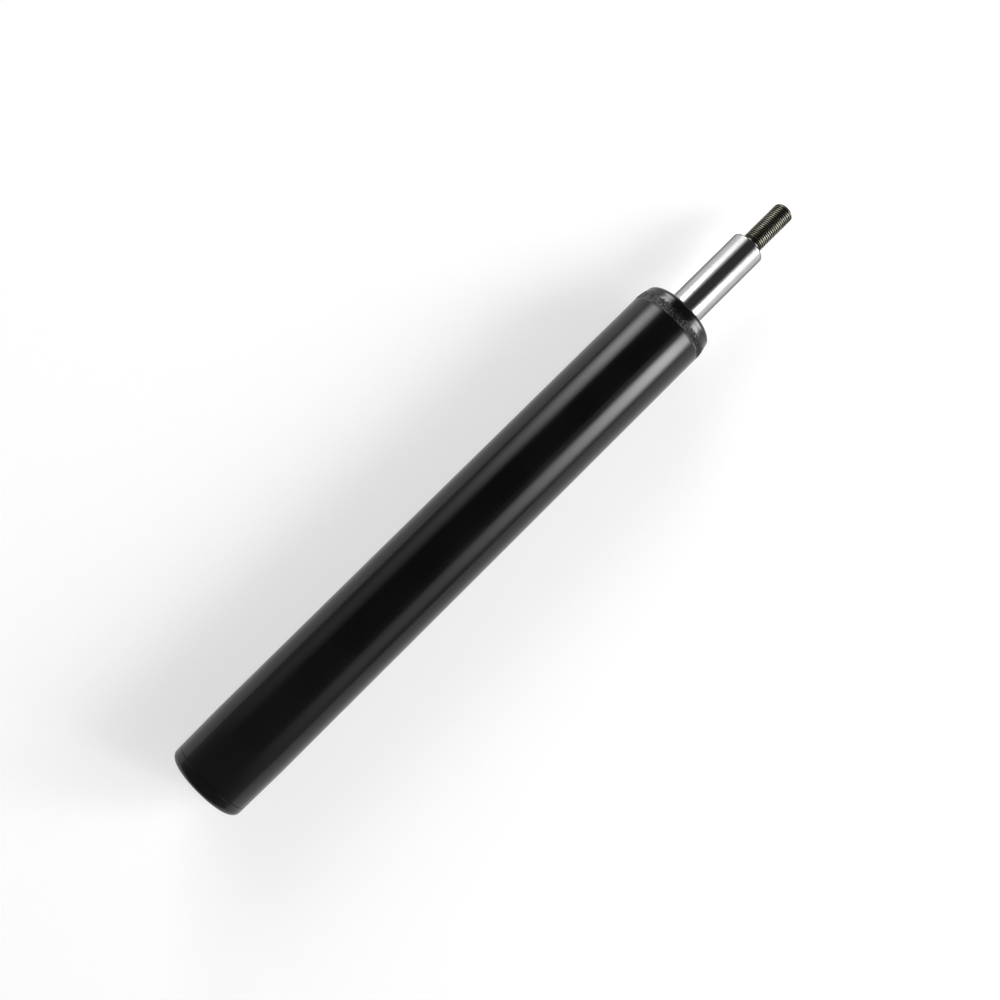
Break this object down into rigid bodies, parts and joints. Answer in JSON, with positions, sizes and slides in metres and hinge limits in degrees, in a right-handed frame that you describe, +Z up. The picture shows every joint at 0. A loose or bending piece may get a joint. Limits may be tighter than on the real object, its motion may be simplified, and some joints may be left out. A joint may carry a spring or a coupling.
{
  "type": "shock absorber",
  "caption": "Twin-tube strut cartridge: gloss black tube with a rolled rim, chromed piston rod and threaded stud; its valves slow the rod both ways.",
  "frame": {"origin": "on the axis, at the flat seat of the closed end; the part lies on its side, with the tube resting on a surface at z = -23.25 mm", "axes": "+X along the axis from the closed end towards the stud, Z up, Y across"},
  "size_m": [0.437, 0.0466, 0.0464],
  "materials": {
    "gloss_black": "gloss black stoving enamel",
    "hard_chrome": "hard chrome, ground and polished",
    "plain_steel": "bright drawn steel",
    "spring_steel": "tempered spring steel",
    "zinc_steel": "zinc plated steel",
    "sintered_iron": "sintered iron",
    "bronze": "sintered bronze",
    "black_rubber": "oil resistant rubber",
    "bumper_urethane": "cast polyurethane",
    "ptfe": "bronze filled low friction plastic"
  },
  "bodies": {
    "barrel": {"outer_tube": "gloss_black", "base_cap": "gloss_black", "pressure_tube": "plain_steel", "base_valve_body": "sintered_iron", "base_valve_bolt": "zinc_steel", "base_valve_nut": "zinc_steel", "base_valve_discs": "spring_steel", "base_check_spring": "spring_steel", "rod_guide": "sintered_iron", "guide_bush": "bronze", "rod_seal": "black_rubber", "garter_spring": "spring_steel", "closing_ring": "zinc_steel", "guide_ring": "black_rubber"},
    "band": {"piston_band": "ptfe"},
    "rod": {"piston_rod": "hard_chrome", "rebound_collar": "plain_steel", "rebound_bumper": "bumper_urethane", "valve_stop": "plain_steel", "piston_check_spring": "spring_steel", "piston": "sintered_iron", "rebound_discs": "spring_steel", "rebound_spring": "spring_steel", "piston_nut": "zinc_steel"},
    "base_check": {"base_check_plate": "plain_steel"},
    "piston_check": {"piston_check_plate": "plain_steel"},
    "rebound_valve": {"rebound_plate": "plain_steel"}
  },
  "joints": [
    {"name": "rod_slide", "type": "slide", "parent": "barrel", "child": "band", "axis": [1, 0, 0], "range_m": [-0.003, 0.16]},
    {"name": "rod_spin", "type": "hinge", "parent": "band", "child": "rod", "pos_m": [0.05, 0, 0], "axis": [1, 0, 0], "continuous": true},
    {"name": "base_check_lift", "type": "slide", "parent": "barrel", "child": "base_check", "axis": [1, 0, 0], "range_m": [0, 0.0008], "stiffness_N_per_m": 2000, "deforming": ["base_check_spring"]},
    {"name": "piston_check_lift", "type": "slide", "parent": "rod", "child": "piston_check", "axis": [1, 0, 0], "range_m": [0, 0.0008], "stiffness_N_per_m": 2000, "deforming": ["piston_check_spring"]},
    {"name": "rebound_valve_lift", "type": "slide", "parent": "rod", "child": "rebound_valve", "axis": [-1, 0, 0], "range_m": [0, 0.0008], "stiffness_N_per_m": 40000, "deforming": ["rebound_spring"]}
  ]
}
